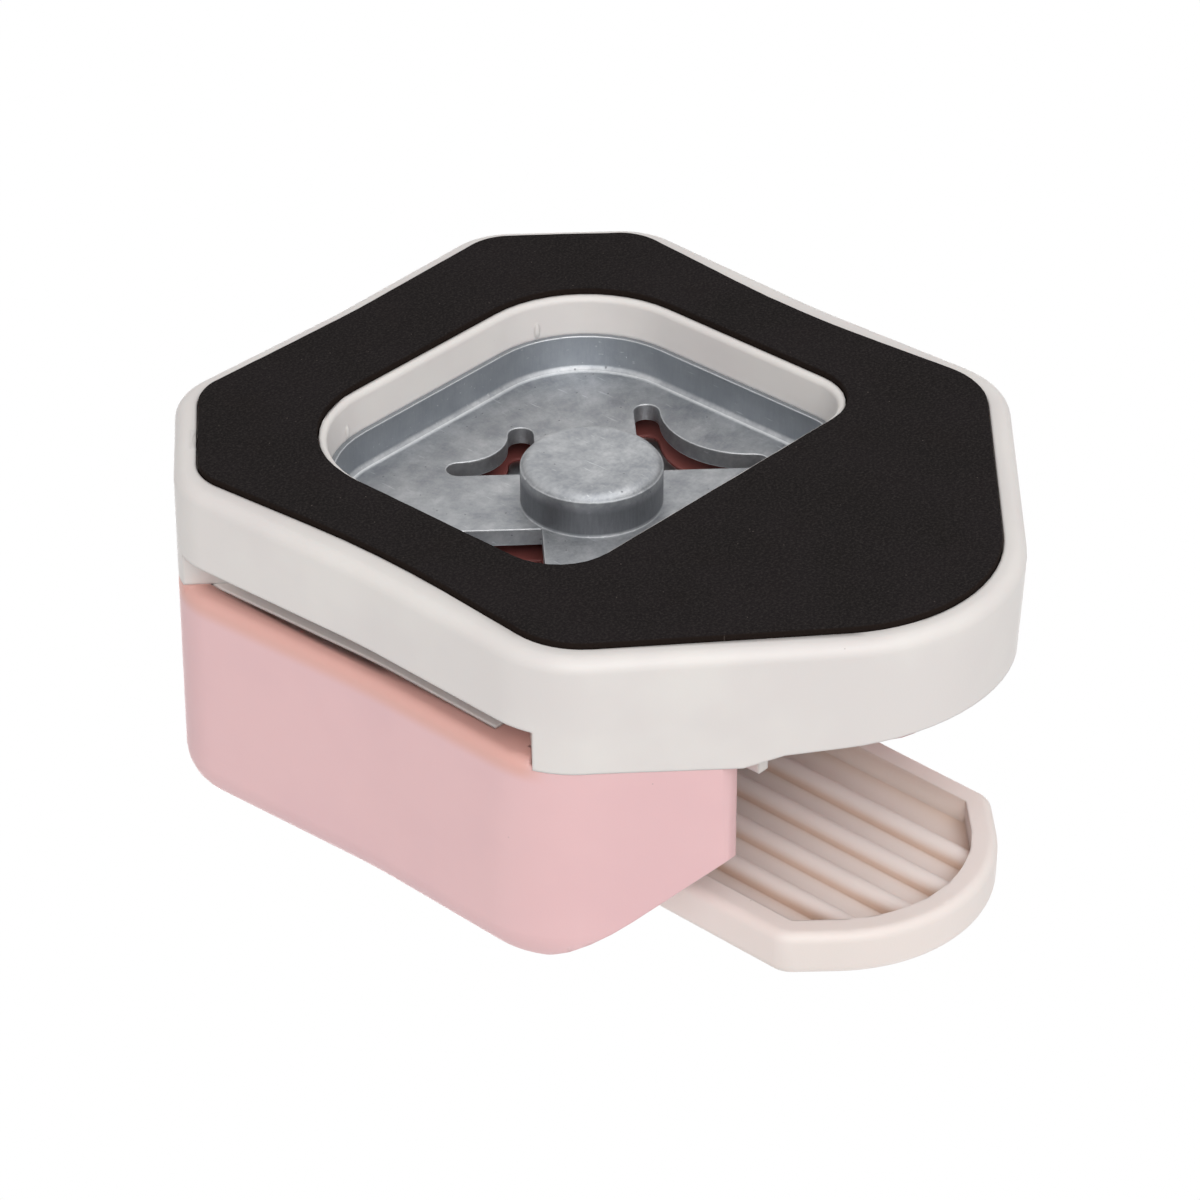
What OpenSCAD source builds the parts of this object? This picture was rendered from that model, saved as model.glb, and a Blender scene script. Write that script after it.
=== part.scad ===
// Three-way corner rounder: a palm-size lever punch that trims paper corners to three radii.
// It stands on its foam pad (Z = 0), the lever points to -Y, paper goes in at +X, -X and +Y.

/* [Body] */
// Widest size across the two sides
body_w = 53.4; // [48:0.2:60]
// Length from the rear edge to the tip of the nose
body_l = 65.2; // [60:0.2:76]
// Leg of the two chamfered rear corners
rear_chamfer = 9.8; // [7:0.1:12]
// Half angle between the two nose faces
nose_angle = 48.3; // [44:0.1:52]
// Radius of the nose tip
nose_tip_r = 15; // [8:0.5:18]
// Radius of the upright corners beside the nose
front_corner_r = 8; // [5:0.5:9]
// Radius of the upright rear corners
corner_r = 6; // [4:0.5:8]
// How far the sides draw in at the middle
waist = 0.7; // [0:0.1:1.5]
// How far the rear edge draws in at the middle
rear_dip = 0.5; // [0:0.1:1.2]
// Radius of the drawn-in sides
side_r = 80; // [40:5:120]
// Radius of the drawn-in rear edge
rear_r = 60; // [40:5:120]

/* [Base] */
// Thickness of the foam pad
pad_t = 1.2; // [0.8:0.1:2]
// How far the pad stands out of its recess in the base
pad_out = 0.5; // [0.3:0.05:0.8]
// Margin of the base left bare round the pad
pad_margin = 1.8; // [1.4:0.1:3]
// How far the sides of the pad draw in at the middle
pad_waist = 1.5; // [0:0.1:2.5]
// Height of the base, from the back of the pad to the joint with the casing
base_h = 8.4; // [7.8:0.1:10]
// How far the nose of the base leans back from the bottom to the joint
base_lean = 0.6; // [0:0.05:0.8]
// Thickness of the bottom of the base
base_floor = 2; // [1.5:0.1:3]
// Thickness of the side wall of the base
base_wall = 2.2; // [1.6:0.1:3]
// Rounding of the bottom edge of the base
base_edge = 1.1; // [0.5:0.1:1.3]
// Height of the paper slots
slot_h = 2.6; // [1.6:0.1:3]
// Step up to the top of the nose, in front of the cross wall
nose_step = 0.7; // [0.3:0.1:0.9]
// How far the top of the nose rises from there to its crest
nose_rise = 0.35; // [0:0.05:0.5]
// Distance from the nose tip back to that crest
crest_back = 9.2; // [8:0.1:11]
// Drop of the top in front of the cheeks
nose_drop = 0.9; // [0:0.1:1]
// Length of that drop
drop_l = 2; // [1:0.1:3]
// Angle at which the tip of the nose falls away
nose_fall = 6.5; // [4:0.5:14]
// Distance from the nose tip back to the tabs that locate the cheeks
tab_back = 9.9; // [8:0.1:14]
// Length of a tab
tab_l = 2.2; // [1.5:0.1:4]
// Thickness of a tab
tab_t = 1; // [0.8:0.1:1.2]
// Height of a tab above the joint
tab_h = 3.2; // [2:0.1:4]

/* [Chip window] */
// Width of the window under the die
window_w = 33.8; // [33:0.1:35]
// Length of the window under the die
window_l = 28.9; // [28:0.1:30]
// Distance from the punch axis to the rear edge of the window
window_back = 16.6; // [16.2:0.1:17.6]
// Width of the rim between the window and the pad
window_rim = 0.7; // [0.6:0.05:1.2]
// Rounding of the mouth of the window
window_edge = 0.45; // [0.3:0.05:0.6]
// Radius of the rear corners of the window
window_rear_r = 9; // [4:0.1:10]
// Radius of the front corners of the window
window_front_r = 4.2; // [2.6:0.1:5]
// Height of the white wall round the window, from the pad
collar_h = 2.55; // [2.3:0.05:3.6]
// Thickness of that wall
collar_t = 2; // [1.5:0.1:2.2]

/* [Die] */
// Distance from the rear edge of the body to the punch axis
axis_back = 27.6; // [26:0.1:29]
// Thickness of the die plate
die_t = 1.4; // [1:0.1:2]
// Depth of the skirt under the die plate
skirt_h = 3.05; // [2.4:0.05:3.2]
// Thickness of the skirt
skirt_t = 2; // [1.6:0.1:2.2]
// Fillet where the skirt meets the plate
skirt_r = 0.6; // [0.3:0.1:1.2]
// Outer diameter of the spring cup
cup_d = 10.9; // [10:0.1:11.1]
// Height of the spring cup under the plate
cup_h = 3.7; // [3:0.1:4.2]
// Bore of the spring cup
cup_bore = 8.2; // [7.9:0.1:8.4]
// Rounding of the lower edge of the cup
cup_edge = 1; // [0.4:0.1:1.4]
// Thickness of the floor of the cup
cup_floor = 1.4; // [0.8:0.1:1.6]
// Distance from the sides of the window to the fastening lugs
lug_side = 3; // [2.5:0.1:6]
// Distance of the lugs in front of the skirt
lug_ahead = 2.2; // [2:0.1:2.6]

/* [Cutters] */
// Radius cut at the rear slot
cut_r_rear = 4; // [3:0.5:5]
// Radius cut at the left slot (-X)
cut_r_left = 7; // [5:0.5:8]
// Radius cut at the right slot (+X)
cut_r_right = 10; // [7:0.5:10.5]
// Distance from the punch axis to the inner corner of each cutter
cutter_in = 5.7; // [5.7:0.1:6.2]
// Width of the cutter past the edge of the paper
cutter_band = 1.9; // [1.6:0.1:2.2]
// Clearance round a cutter in the die and in the guide plate
cut_gap = 0.06; // [0.04:0.01:0.1]

/* [Punch] */
// Travel of the punch
stroke = 3; // [2.8:0.1:3.2]
// Thickness of the punch block
block_t = 3.4; // [2.5:0.1:4]
// Margin of the block round the cutters
block_edge = 1.4; // [1:0.1:1.8]
// Rounding of the ends of its arms
arm_r = 2; // [1:0.1:2.8]
// Outer diameter of the tower on the block
tower_d = 12.8; // [11.6:0.1:14]
// Height of the tower above the block
tower_h = 3; // [2.5:0.1:3.5]
// Thickness of the roof over the spring
tower_roof = 1.3; // [1:0.1:1.6]
// Thickness of the steel disc that the lever presses
disc_t = 1; // [0.6:0.1:1.2]
// Diameter of that disc
disc_d = 8; // [6:0.1:9]
// Diameter of the guide pins
guide_pin_d = 3; // [2:0.1:3.4]
// Distance from the punch axis to the front guide pin
guide_pin_front = 9; // [8.6:0.1:9.6]
// Distance from the punch axis to the rear guide pin
guide_pin_rear = 14.2; // [13.8:0.1:14.6]
// Reach of the guide pins above the block at rest
guide_pin_over = 0.6; // [0.2:0.1:1.5]

/* [Spring] */
// Wire of the return spring
wire_d = 0.8; // [0.6:0.05:1]
// Mean diameter of the return spring
coil_d = 6.6; // [6:0.1:6.8]
// Turns of the return spring
coils = 8; // [6:1:9]
// Gap between the turns at the flat ends of the spring
coil_gap = 0.5; // [0.45:0.05:0.6]
// Thickness of the washer under the spring
washer_t = 0.4; // [0.3:0.1:0.6]

/* [Guide plate] */
// Thickness of the guide plate
guide_t = 1.6; // [1.2:0.1:2]

/* [Casing] */
// Height of the casing above the joint with the base
casing_h = 18.9; // [18:0.1:21]
// Thickness of the walls of the casing
casing_wall = 1.8; // [1.4:0.1:2.4]
// How far the front of the casing leans back from the joint to the top
casing_lean = 0.7; // [0:0.05:1]
// Rounding of the casing's lower edge over the slots, which leads the paper in
lead_r = 0.9; // [0.4:0.1:1.2]
// Rounding of the top edges
top_r = 3.5; // [2:0.1:4]
// Angle of the sloped front of the cheeks
slope_angle = 47; // [40:1:55]
// Distance from the nose tip to the top of that slope
slope_back = 19; // [16:0.1:21]
// Rounding between the top and the slope
slope_r = 14; // [4:0.5:16]
// Distance from the punch axis to the cross wall in front of the punch
wall_ahead = 12.8; // [12.4:0.1:13.4]
// Width of the channel for the lever
channel_w = 26; // [25.6:0.1:28]
// Distance from the hinge axis to the rear end of the channel
channel_back = 4.3; // [4.3:0.1:4.6]
// Thickness of the walls beside the channel
channel_wall = 1.6; // [1.4:0.1:2]
// Height of the floor level of the channel above the joint
channel_rise = 10; // [9.6:0.1:10.2]
// Thickness of the shelf under the tail of the lever
shelf_t = 2; // [1.4:0.1:2.4]
// Reach of the hollow of the cheeks in front of the cross wall
cheek_room = 8; // [6:0.5:9]
// Rounding of the front ends of the cheeks
cheek_r = 3; // [2:0.1:4.4]

/* [Lever] */
// Width of the lever
lever_w = 24.6; // [22:0.1:24.8]
// Thickness of the lever
lever_t = 3.7; // [3:0.1:4.5]
// Distance from the nose tip back to the tip of the lever
lever_short = 0.9; // [0:0.1:4]
// Half angle between the flanks of the lever's tip
lever_tip_angle = 45; // [42:0.5:50]
// Radius of the lever's tip
lever_tip_r = 13.2; // [12:0.1:13.4]
// Rounding of the lever's front corners
lever_corner_r = 2.2; // [1.5:0.1:3]
// Rounding of the lever's edges
lever_edge = 0.8; // [0.4:0.1:1]
// Upward tilt of the lever at rest
lever_rise = 1.2; // [0:0.1:2]
// Width of the rim round the underside
rim_w = 2; // [1.5:0.1:2.5]
// Depth of the hollow underside
hollow_d = 2.1; // [1.5:0.1:2.4]
// Number of lengthwise ribs in the hollow
ribs = 4; // [2:1:5]
// Width of a rib
rib_w = 1.7; // [1:0.1:2.4]
// Height of a rib
rib_h = 1.2; // [0.6:0.1:1.5]
// Distance from the rear edge of the body to the hinge axis
hinge_back = 9.6; // [9:0.1:10.5]
// Depth of the hinge axis below the underside of the lever
hinge_drop = 2.6; // [2:0.1:2.8]
// Outer diameter of the hinge barrel
barrel_d = 6; // [5:0.1:6]
// Length of the hinge barrel
barrel_w = 22; // [18:0.5:22.4]
// Length of the tail behind the hinge axis
tail = 3; // [2.5:0.1:3.4]
// Rounding of the lever's rear corners
lever_rear_r = 2; // [1:0.5:4]
// Diameter of the hinge pin
hinge_pin_d = 3; // [2:0.1:3.2]
// Height of the lever's underside at the hinge, above the joint
lever_seat = 16; // [15.8:0.1:16.4]
// Radius of the nose that presses the punch
press_r = 3; // [2:0.1:3.5]
// Length of that nose
press_w = 10; // [6:0.5:14]

/* [Screws] */
// Shank diameter of the casing screws
case_screw_d = 2.4; // [2:0.1:2.8]
// Shank diameter of the small screws
small_screw_d = 1.8; // [1.5:0.1:2]
// Thickness of the heads
screw_head_t = 1.2; // [0.8:0.1:1.4]
// Diameter of a head as a multiple of the shank
head_ratio = 1.9; // [1.7:0.05:2]
// Wall of a boss round its screw
boss_wall = 1.5; // [1.2:0.1:1.7]
// Depth of the casing screws in the casing
case_bite = 6; // [4:0.5:8]
// Depth of the guide screws in the casing
guide_bite = 5; // [3:0.5:6]
// Depth of the cutter screws in the cutters
cutter_bite = 3; // [2:0.1:3.2]
// Distance from the side of the body to the rear casing screws
post_side = 7.2; // [6.8:0.1:7.6]
// Distance from the rear edge to the rear casing screws
post_back = 8.1; // [7.8:0.1:8.6]
// Distance from the side of the body to the front casing screws
nose_post_side = 7.7; // [7.2:0.1:8.2]
// Distance of the front casing screws behind the front corners
nose_post_back = 0.4; // [0:0.1:0.8]
// Distance from the side of the body to the front guide screws
guide_screw_side = 5.2; // [5:0.1:5.6]
// Distance of the front guide screws in front of the punch axis
guide_screw_ahead = 8; // [7.6:0.1:8.4]
// Distance of the rear guide screws from the middle
guide_screw_out = 11; // [10:0.1:11.6]
// Distance from the rear edge to the rear guide screws
guide_screw_back = 4.6; // [4.4:0.1:5]
// Thickness of the clips on the hinge pin
clip_t = 0.6; // [0.4:0.1:0.8]
// Width of those clips round the pin
clip_band = 1.2; // [0.8:0.1:1.5]

/* [Fits] */
// Radial clearance of pins that turn or slide
run_gap = 0.05; // [0.02:0.01:0.1]
// Clearance between fixed pieces
seat_gap = 0.2; // [0.1:0.05:0.3]
// Clearance between moving pieces
move_gap = 0.15; // [0.1:0.05:0.3]

/* [Hidden] */
$fn = 64;
// Overlap that makes one solid of pieces that only touch
eps = 0.02;
// Reach of cutting shapes past the body
far = 100;
// Reach of cutting shapes past a face
over = 1;
// Least radius of a corner that is drawn in
least_r = 0.2;
// Points of the spring wire round each turn, and round the wire
turn_steps = 8;
wire_sides = 6;

// Plan positions
rear_y = body_l / 2;
axis_y = rear_y - axis_back;
hinge_y = rear_y - hinge_back;
nose_y = -body_l / 2;
nose_sharp_y = nose_y - nose_tip_r * (1 / sin(nose_angle) - 1);
side_front_y = nose_sharp_y + body_w / 2 / tan(nose_angle);
window_rear_y = axis_y + window_back;
window_front_y = window_rear_y - window_l;
front_y = axis_y - wall_ahead - channel_wall;
slope_y = nose_y + slope_back;

// Levels
joint_z = pad_t + base_h;
crest_y = nose_y + crest_back;
crest_z = joint_z + nose_step + nose_rise;
slot_z = joint_z - slot_h;
floor_z = pad_t + base_floor;
collar_z = pad_t + collar_h;
die_z = collar_z + skirt_h;
die_top = die_z + die_t;
cup_z = die_z - cup_h;
cup_floor_z = cup_z + cup_floor;
guide_top = joint_z + guide_t;
guide_head_z = joint_z + run_gap;
case_head_z = pad_t + seat_gap;
casing_top = joint_z + casing_h;
channel_z = joint_z + channel_rise;
block_z = guide_top + stroke + 2 * move_gap;
block_top = block_z + block_t;
tower_top = block_top + tower_h;
disc_z = tower_top - disc_t + move_gap;
spring_roof_z = disc_z - tower_roof;
lever_z = joint_z + lever_seat;
hinge_z = lever_z - hinge_drop;
press_z = disc_z + disc_t + move_gap + press_r;
lever_rear_y = hinge_y + channel_back - 4 * seat_gap;

// Paper stops: the corner of the paper comes this far from the punch axis
tip_in = cutter_in + cutter_band * sqrt(2);
cutter_z = joint_z + seat_gap;

// Screw places
rear_post = [body_w / 2 - post_side, rear_y - post_back];
front_post = [body_w / 2 - nose_post_side, side_front_y + nose_post_back];
front_guide = [body_w / 2 - guide_screw_side, axis_y - guide_screw_ahead];
rear_guide = [guide_screw_out, rear_y - guide_screw_back];
die_lug = [window_w / 2 - lug_side, window_front_y - skirt_t - lug_ahead];
post_r = case_screw_d / 2 + boss_wall;
small_post_r = small_screw_d / 2 + boss_wall;

// Two-dimensional outlines with arcs
function unit(v) = v / norm(v);
function left_of(d) = [-d[1], d[0]];
function turned(v, a) = [v[0] * cos(a) - v[1] * sin(a), v[0] * sin(a) + v[1] * cos(a)];
function before(p, i) = unit(p[i] - p[(i + len(p) - 1) % len(p)]);
function after(p, i) = unit(p[(i + 1) % len(p)] - p[i]);

// Vertex i of outline p, moved inwards by d
function moved_in(p, i, d) =
    let (n = left_of(before(p, i)), m = left_of(after(p, i)))
    p[i] + d / (1 + n * m) * (n + m);

// Arc of radius r in place of vertex i of outline p
function corner_arc(p, i, r, steps) =
    let (
        u = before(p, i),
        turn = atan2(cross(u, after(p, i)), u * after(p, i)),
        side = sign(turn) * r * left_of(u),
        centre = p[i] - r * tan(abs(turn) / 2) * u + side
    )
    [for (k = [0 : steps]) centre - turned(side, turn * k / steps)];

// Outline p with rounded corners, drawn in by d
function rounded(p, radii, steps, d = 0) =
    let (q = [for (i = [0 : len(p) - 1]) moved_in(p, i, d)])
    [for (i = [0 : len(q) - 1])
        let (convex = cross(before(p, i), after(p, i)) > 0)
        each corner_arc(q, i, convex ? max(radii[i] - d, least_r) : radii[i] + d, steps[i])];

function mirrored(half) = concat(half, [for (i = [len(half) - 2 : -1 : 1]) [-half[i][0], half[i][1]]]);
function both(values) = concat(values, [for (i = [len(values) - 2 : -1 : 1]) values[i]]);

// Home-plate outline of the body, from the nose tip round to the rear edge
function body_half(draw, lean) = [
    [0, nose_sharp_y + lean],
    [body_w / 2, side_front_y + lean],
    [body_w / 2 - draw, (side_front_y + rear_y - rear_chamfer) / 2],
    [body_w / 2, rear_y - rear_chamfer],
    [body_w / 2 - rear_chamfer, rear_y],
    [0, rear_y - rear_dip]
];
// Outline of the body, drawn in by d, with its sides drawn in at the middle and its nose leaning back
function body_outline(d = 0, draw = waist, lean = 0) =
    rounded(mirrored(body_half(draw, lean)),
        both([nose_tip_r, front_corner_r, side_r, corner_r, corner_r, rear_r]),
        both([16, 8, 4, 8, 8, 4]), d);

function window_outline(d = 0) =
    rounded(
        [[-window_w / 2, window_front_y], [window_w / 2, window_front_y],
            [window_w / 2, window_rear_y], [-window_w / 2, window_rear_y]],
        [window_front_r, window_front_r, window_rear_r, window_rear_r], [8, 8, 12, 12], d);

// Side view of the casing, (Y, Z), drawn in by d
function casing_profile(d = 0) =
    let (drop = casing_h + far / 10)
    rounded(
        [[slope_y - drop / tan(slope_angle), casing_top - drop], [far, casing_top - drop],
            [far, casing_top], [slope_y, casing_top]],
        [over, over, over, slope_r], [1, 1, 1, 8], d);

// Solid through a stack of outlines with equal numbers of points, each with its height
module loft(layers) {
    n = len(layers[0][0]);
    top = len(layers) - 1;
    points = [for (layer = layers) for (p = layer[0]) [p[0], p[1], layer[1]]];
    sides = [
        for (k = [0 : top - 1])
            for (i = [0 : n - 1])
                let (a = k * n + i, b = k * n + (i + 1) % n)
                each [[a, a + n, b], [b, a + n, b + n]]
    ];
    caps = [[for (i = [0 : n - 1]) i], [for (i = [n - 1 : -1 : 0]) top * n + i]];
    polyhedron(points, concat(caps, sides));
}

// Quarter-round steps of an edge of radius r, as [draw-in, height from the edge]
function edge_steps(r, steps = 6) =
    [for (k = [0 : steps]) let (a = 90 * k / steps) [r * (1 - sin(a)), r * (1 - cos(a))]];

// The same steps from the side to the edge
function edge_back(r, steps = 6) =
    let (e = edge_steps(r, steps))
    [for (k = [steps : -1 : 0]) e[k]];

module prism(points, z0, z1) {
    translate([0, 0, z0])
        linear_extrude(z1 - z0)
            polygon(points);
}

module rod(x, y, z0, z1, r) {
    translate([x, y, z0])
        cylinder(r = r, h = z1 - z0);
}

module both_sides() {
    children();
    mirror([1, 0, 0])
        children();
}

// Places children, drawn along +X from the punch axis, at one of the three slots
module at_slot(angle) {
    translate([0, axis_y])
        rotate(angle)
            children();
}

// Wedge that a right-angled paper corner fills, pointing at the punch axis
module paper_wedge() {
    polygon([[tip_in, 0], [far, far - tip_in], [far, tip_in - far]]);
}

function arc(centre, r, from, to, step) = [for (a = [from : step : to]) centre + r * [cos(a), sin(a)]];

// Plan of a cutter for radius r: outside corner, rounding arc and rounded run-outs, grown by g
module cutter_plan(r, g = 0) {
    reach = r / sqrt(2);
    inset = cutter_band / 2 / sqrt(2);
    run_out = [tip_in + reach - inset, reach + inset];
    polygon(concat(
        [[cutter_in - g * sqrt(2), 0]],
        arc([run_out[0], -run_out[1]], cutter_band / 2 + g, 225, 405, 22.5),
        arc([tip_in + r * sqrt(2), 0], r - g, 217.5, 142.5, -7.5),
        arc(run_out, cutter_band / 2 + g, -45, 135, 22.5)));
}

// Radius cut at each slot, with the direction of the slot
SLOTS = [[0, cut_r_right], [90, cut_r_rear], [180, cut_r_left]];

// Room for the paper at the three slots, between two levels
module paper_room(z0, z1) {
    translate([0, 0, z0])
        linear_extrude(z1 - z0)
            for (slot = SLOTS)
                at_slot(slot[0])
                    paper_wedge();
}

// Distance from the punch axis to the screw of a cutter of radius r, with equal walls round it
function cutter_screw(r) = (cutter_in + sqrt(2) * tip_in + r * (2 - sqrt(2))) / (1 + sqrt(2));

function head_r(d) = d / 2 * head_ratio;

// Screw with its head down at z and its shank up
module screw_up(x, y, z, d, length) {
    rod(x, y, z, z + screw_head_t, head_r(d));
    rod(x, y, z + screw_head_t - eps, z + length, d / 2);
}

// Plan of the pad, grown by g
module pad_plan(g = 0) {
    difference() {
        polygon(body_outline(pad_margin - g, pad_waist));
        polygon(window_outline(g - window_rim));
    }
}

module foam_pad() {
    color("#2c2c2e")
        linear_extrude(pad_t)
            pad_plan();
}

// Side view (Y, Z) of the joint: flat to the cross wall, then a step up, the crest and the falling tip
function joint_line() = [
    [far, joint_z],
    [front_y - seat_gap, joint_z],
    [front_y - seat_gap, joint_z + nose_step],
    [front_post[1] - post_r - seat_gap, joint_z + nose_step],
    [crest_y, crest_z],
    [crest_y - drop_l, crest_z - nose_drop],
    [nose_y - over, crest_z - nose_drop - (crest_back - drop_l + over) * tan(nose_fall)]
];

// All that lies above or below the joint, to a height z
module beyond_joint(z) {
    translate([-far / 2, 0, 0])
        rotate([90, 0, 90])
            linear_extrude(far)
                polygon(concat(joint_line(), [[nose_y - over, z], [far, z]]));
}

// Corner posts of the base: all that lies between the paper wedges near the wall
module post_plan() {
    difference() {
        polygon(body_outline(base_wall - eps));
        polygon(window_outline(-skirt_t - collar_t));
        for (slot = SLOTS)
            at_slot(slot[0])
                paper_wedge();
        translate([-far / 2, side_front_y])
            square([far, axis_y - side_front_y]);
        translate([-far / 2, -far])
            square([far, far + window_front_y - skirt_t - seat_gap]);
    }
}

module base() {
    color("#dedad6") {
        both_sides()
            translate([channel_w / 2 - seat_gap - tab_t, nose_y + tab_back, joint_z - over])
                cube([tab_t, tab_l, tab_h + over]);
        difference() {
            loft(concat(
                [for (s = edge_steps(base_edge)) [body_outline(s[0]), pad_out + s[1]]],
                [[body_outline(lean = base_lean), crest_z + over]]));
            beyond_joint(far);
            translate([0, 0, -over])
                linear_extrude(pad_t + over)
                    pad_plan(2 * run_gap);
            // Room for the die behind the solid nose
            difference() {
                prism(body_outline(base_wall), floor_z, joint_z + over);
                prism(window_outline(-collar_t), floor_z - over, collar_z);
                translate([-far / 2, -far, 0])
                    cube([far, far + window_front_y - skirt_t - seat_gap, joint_z]);
                translate([0, 0, floor_z - over])
                    linear_extrude(joint_z)
                        post_plan();
                both_sides()
                    rod(rear_post[0], rear_post[1], floor_z - over, joint_z, post_r);
            }
            loft(concat(
                [[window_outline(-window_edge), -over]],
                [for (s = edge_back(window_edge)) [window_outline(-s[1]), pad_out + s[0]]],
                [[window_outline(), joint_z]]));
            // Paper slots on three sides
            paper_room(slot_z, joint_z + 2 * over);
            // Recesses for the lugs of the die
            both_sides() {
                rod(die_lug[0], die_lug[1], die_z, joint_z + 2 * over, small_post_r + seat_gap);
                rod(die_lug[0], die_lug[1], floor_z, joint_z, small_screw_d / 2);
                translate([die_lug[0] - small_post_r - seat_gap, die_lug[1], die_z])
                    cube([2 * (small_post_r + seat_gap), skirt_t + lug_ahead, joint_z]);
                for (p = [rear_post, front_post]) {
                    rod(p[0], p[1], 0, joint_z + 2 * over, case_screw_d / 2 + run_gap);
                    rod(p[0], p[1], 0, case_head_z + screw_head_t, head_r(case_screw_d) + seat_gap);
                }
            }
        }
    }
}

// Half section of the spring cup, with its rounded lower edge
function cup_side() =
    concat(
        [[0, 0]],
        [for (s = edge_steps(cup_edge)) [cup_d / 2 - s[0], s[1]]],
        [[cup_d / 2, cup_h + eps], [0, cup_h + eps]]);

module die() {
    color("#a2a4a6")
        difference() {
            union() {
                prism(window_outline(-skirt_t + seat_gap), collar_z, die_top);
                both_sides()
                    lug();
                translate([0, axis_y, cup_z])
                    rotate_extrude()
                        polygon(cup_side());
            }
            difference() {
                loft(concat(
                    [[window_outline(2 * seat_gap), collar_z - over]],
                    [for (s = edge_back(skirt_r)) [window_outline(2 * seat_gap + s[0]), die_z - s[1]]]));
                rod(0, axis_y, 0, joint_z, cup_d / 2);
            }
            rod(0, axis_y, cup_floor_z, joint_z, cup_bore / 2);
            for (slot = SLOTS)
                translate([0, 0, die_z - over])
                    linear_extrude(die_t + 2 * over)
                        at_slot(slot[0])
                            cutter_plan(slot[1], cut_gap);
            both_sides()
                rod(die_lug[0], die_lug[1], 0, joint_z, small_screw_d / 2 + run_gap);
        }
}

// Fastening lug of the die
module lug() {
    rod(die_lug[0], die_lug[1], die_z, die_top, small_post_r);
    translate([die_lug[0] - small_post_r, die_lug[1], die_z])
        cube([2 * small_post_r, window_front_y - die_lug[1], die_t]);
}

module die_screws() {
    color("#8d8f92")
        both_sides() {
            rod(die_lug[0], die_lug[1], floor_z + seat_gap, die_top + eps, small_screw_d / 2);
            rod(die_lug[0], die_lug[1], die_top, joint_z - seat_gap, head_r(small_screw_d));
        }
}

module guide_plate() {
    color("#b9807c")
        difference() {
            prism(body_outline(casing_wall + seat_gap), joint_z, guide_top);
            translate([-far / 2, -far, 0])
                cube([far, far + front_y + channel_wall + move_gap, far]);
            for (slot = SLOTS)
                translate([0, 0, joint_z - over])
                    linear_extrude(guide_t + 2 * over)
                        at_slot(slot[0])
                            cutter_plan(slot[1], cut_gap);
            rod(0, axis_y, 0, far, cup_bore / 2);
            for (y = [axis_y - guide_pin_front, axis_y + guide_pin_rear])
                rod(0, y, 0, far, guide_pin_d / 2);
            both_sides() {
                for (p = [rear_post, front_post])
                    rod(p[0], p[1], 0, far, post_r + seat_gap);
                for (p = [front_guide, rear_guide]) {
                    rod(p[0], p[1], 0, far, small_screw_d / 2 + run_gap);
                    rod(p[0], p[1], 0, guide_head_z + screw_head_t + run_gap,
                        head_r(small_screw_d) + run_gap);
                }
            }
        }
}

module guide_screws() {
    color("#8d8f92")
        both_sides()
            for (p = [front_guide, rear_guide])
                screw_up(p[0], p[1], guide_head_z, small_screw_d, guide_t + guide_bite);
}

module case_screws() {
    color("#8d8f92")
        both_sides()
            for (p = [rear_post, front_post])
                screw_up(p[0], p[1], case_head_z, case_screw_d, base_h + case_bite);
}

// Room inside the casing, without its walls, posts and stops
module casing_room() {
    difference() {
        intersection() {
            prism(body_outline(casing_wall), joint_z - over, casing_top - casing_wall);
            translate([-far / 2, 0, 0])
                rotate([90, 0, 90])
                    linear_extrude(far)
                        polygon(casing_profile(casing_wall));
            translate([-far / 2, front_y - cheek_room, 0])
                cube([far, far, far]);
        }
        // Walls beside the channel
        translate([-channel_w / 2 - channel_wall, -far, 0])
            cube([channel_w + 2 * channel_wall, far + front_y + channel_wall, far]);
        translate([-channel_w / 2 - channel_wall, front_y, channel_z])
            cube([channel_w + 2 * channel_wall, hinge_y + channel_back + channel_wall - front_y, far]);
        // Cross wall in front of the punch
        translate([-far / 2, front_y, 0])
            cube([far, channel_wall, channel_z]);
        // Its thicker ends, over the front ends of the slots
        both_sides()
            translate([channel_w / 2, front_y - channel_wall, 0])
                cube([far, 2 * channel_wall, channel_z]);
        // Shelf under the tail of the lever
        translate([-channel_w / 2 - channel_wall, hinge_y + shelf_t, channel_z - shelf_t])
            cube([channel_w + 2 * channel_wall, far, shelf_t + eps]);
        both_sides() {
            for (p = [rear_post, front_post])
                rod(p[0], p[1], joint_z, far, post_r);
            rod(front_guide[0], front_guide[1], guide_top, far, small_post_r);
            rod(rear_guide[0], rear_guide[1], guide_top, channel_z - eps, small_post_r);
        }
    }
}

// Rounds the front end of a cheek, between the nose face and the channel wall
module cheek_end() {
    sharp = [channel_w / 2, nose_sharp_y + channel_w / 2 / tan(nose_angle)];
    centre = sharp + [cheek_r, cheek_r / tan(nose_angle / 2)];
    turn = 180 - nose_angle;
    polygon(concat(
        [[sharp[0] - over, centre[1]]],
        arc(centre, cheek_r, 180, 180 + turn, turn / 8),
        [centre + (cheek_r + 2 * over) * [cos(nose_angle), -sin(nose_angle)], sharp - over * [1, 2]]));
}

// Outside of the casing: a solid with a round lower edge over the slots and a sharp one elsewhere
module casing_block() {
    top_lean = base_lean + casing_lean;
    loft(concat(
        [for (s = edge_steps(lead_r, 4)) [body_outline(s[0], lean = base_lean), joint_z + s[1]]],
        [for (s = edge_back(top_r)) [body_outline(s[0], lean = top_lean), casing_top - s[1]]]));
    difference() {
        loft([[body_outline(0, lean = base_lean), joint_z],
            [body_outline(eps, lean = base_lean), joint_z + lead_r]]);
        paper_room(joint_z - over, joint_z + lead_r + over);
    }
}

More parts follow.
